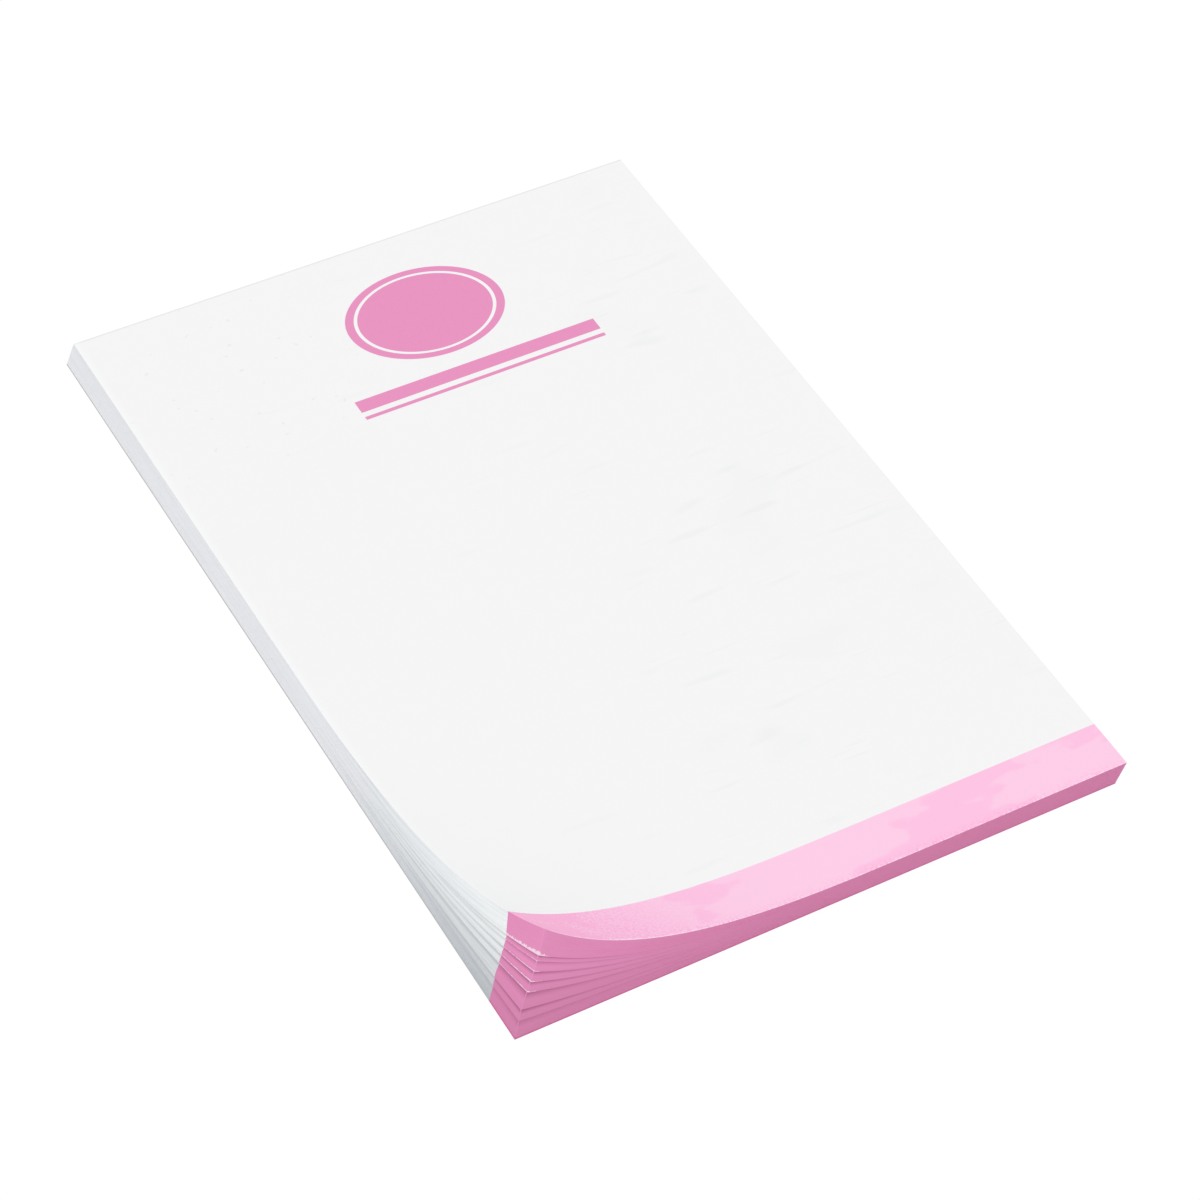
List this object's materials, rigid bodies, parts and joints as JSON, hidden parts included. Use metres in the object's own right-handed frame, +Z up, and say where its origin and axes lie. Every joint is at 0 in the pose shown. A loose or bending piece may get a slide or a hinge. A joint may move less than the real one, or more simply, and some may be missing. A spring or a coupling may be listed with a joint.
{
  "type": "adhesive note pad",
  "caption": "Rectangular pad of note paper glued along one short edge, with a colour band across the foot and one corner fanned and curled up.",
  "frame": {"origin": "middle of the pad's underside, on the surface that it lies on", "axes": "+X across the pad, +Y from the loose front edge to the glued back edge, +Z up through the stack"},
  "size_m": [0.1014, 0.15, 0.019],
  "materials": {
    "backing": "smooth",
    "note_paper": "matt"
  },
  "bodies": {
    "root": {"backing_sheet": "backing", "note_sheets": "note_paper"}
  },
  "joints": []
}
